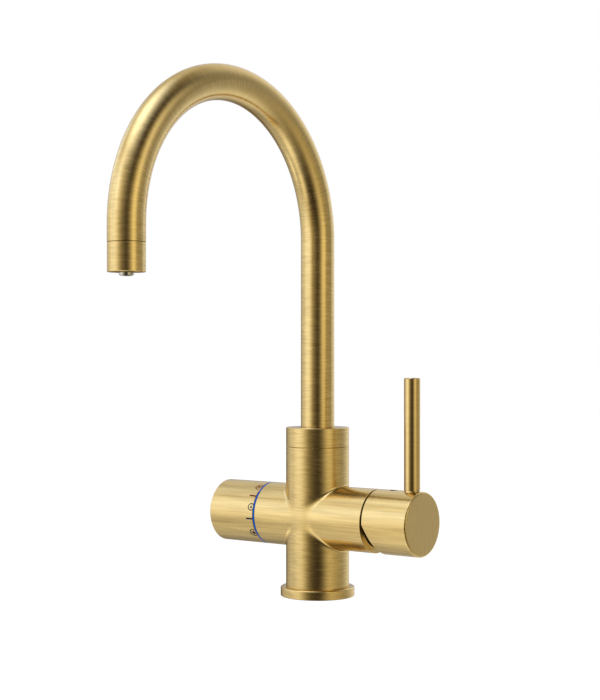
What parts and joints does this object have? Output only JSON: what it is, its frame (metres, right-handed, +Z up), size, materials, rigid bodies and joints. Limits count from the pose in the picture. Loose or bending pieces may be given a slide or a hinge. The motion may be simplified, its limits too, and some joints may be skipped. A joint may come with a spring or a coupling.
{
  "type": "kitchen faucet",
  "caption": "Swan-neck kitchen tap with a swivelling spout, a side mixer lever for hot and cold, and a side selector knob for filtered and boiling water.",
  "frame": {"origin": "centre of the base's underside, on the worktop", "axes": "+Z up along the body's column, -Y towards the spout's outlet, +X along the mixer's arm, -X along the selector's arm"},
  "size_m": [0.1843, 0.255, 0.3924],
  "materials": {
    "brushed_gold_brass": "brushed gold, satin",
    "raw_brass": "turned",
    "stainless_steel": "polished",
    "black_rubber": "moulded",
    "white_ceramic": "lapped",
    "white_plastic": "moulded",
    "grey_plastic": "moulded",
    "blue_plastic": "gloss"
  },
  "bodies": {
    "tap_body": {"body_casting": "brushed_gold_brass", "base_ring": "brushed_gold_brass", "base_seal": "black_rubber", "thrust_washer": "white_plastic", "spout_stop_screw": "stainless_steel", "inner_tube_seal": "black_rubber", "selector_valve_body": "raw_brass", "selector_seat_seal": "black_rubber", "selector_fixed_disc": "white_ceramic", "selector_valve_nut": "raw_brass", "indicator_ring": "blue_plastic", "cartridge_housing": "white_plastic", "cartridge_base": "white_plastic", "cartridge_seals": "black_rubber", "cartridge_fixed_disc": "white_ceramic", "cartridge_nut": "raw_brass"},
    "spout": {"spout_tube": "brushed_gold_brass", "spout_collar": "brushed_gold_brass", "spout_slip_rings": "white_plastic", "spout_seals": "black_rubber", "inner_water_tube": "stainless_steel", "outlet_ring": "brushed_gold_brass", "aerator_insert": "grey_plastic", "aerator_washer": "black_rubber", "outlet_nozzle": "stainless_steel"},
    "selector": {"selector_knob": "brushed_gold_brass", "selector_spindle": "raw_brass", "selector_moving_disc": "white_ceramic", "spindle_seal": "black_rubber", "knob_grub_screw": "stainless_steel"},
    "mixer_rotor": {"cartridge_rotor": "white_plastic", "lever_pivot_pin": "stainless_steel"},
    "mixer_disc": {"cartridge_moving_disc": "white_ceramic", "disc_carrier": "white_plastic"},
    "mixer_lever": {"mixer_handle": "brushed_gold_brass", "lever_pin": "brushed_gold_brass", "cartridge_stem": "raw_brass", "handle_set_screw": "stainless_steel", "handle_screw_plug": "black_rubber"}
  },
  "joints": [
    {"name": "spout_swivel", "type": "hinge", "parent": "tap_body", "child": "spout", "pos_m": [0, 0, 0.1], "axis": [0, 0, 1], "range_deg": [-135, 135]},
    {"name": "selector_turn", "type": "hinge", "parent": "tap_body", "child": "selector", "pos_m": [-0.05, 0, 0.0607], "axis": [1, 0, 0], "range_deg": [-90, 90]},
    {"name": "mixer_turn", "type": "hinge", "parent": "tap_body", "child": "mixer_rotor", "pos_m": [0.044, 0, 0.0607], "axis": [1, 0, 0], "range_deg": [-45, 45]},
    {"name": "mixer_lift", "type": "hinge", "parent": "mixer_rotor", "child": "mixer_lever", "pos_m": [0.044, 0, 0.0607], "axis": [0, 1, 0], "range_deg": [0, 20]},
    {"name": "mixer_disc_slide", "type": "slide", "parent": "mixer_rotor", "child": "mixer_disc", "axis": [0, 0, 1], "range_m": [0, 0.00274]}
  ],
  "couplings": [
    {"joint": "mixer_disc_slide", "follows": "mixer_lift", "m_per_rad": 0.0078385}
  ]
}
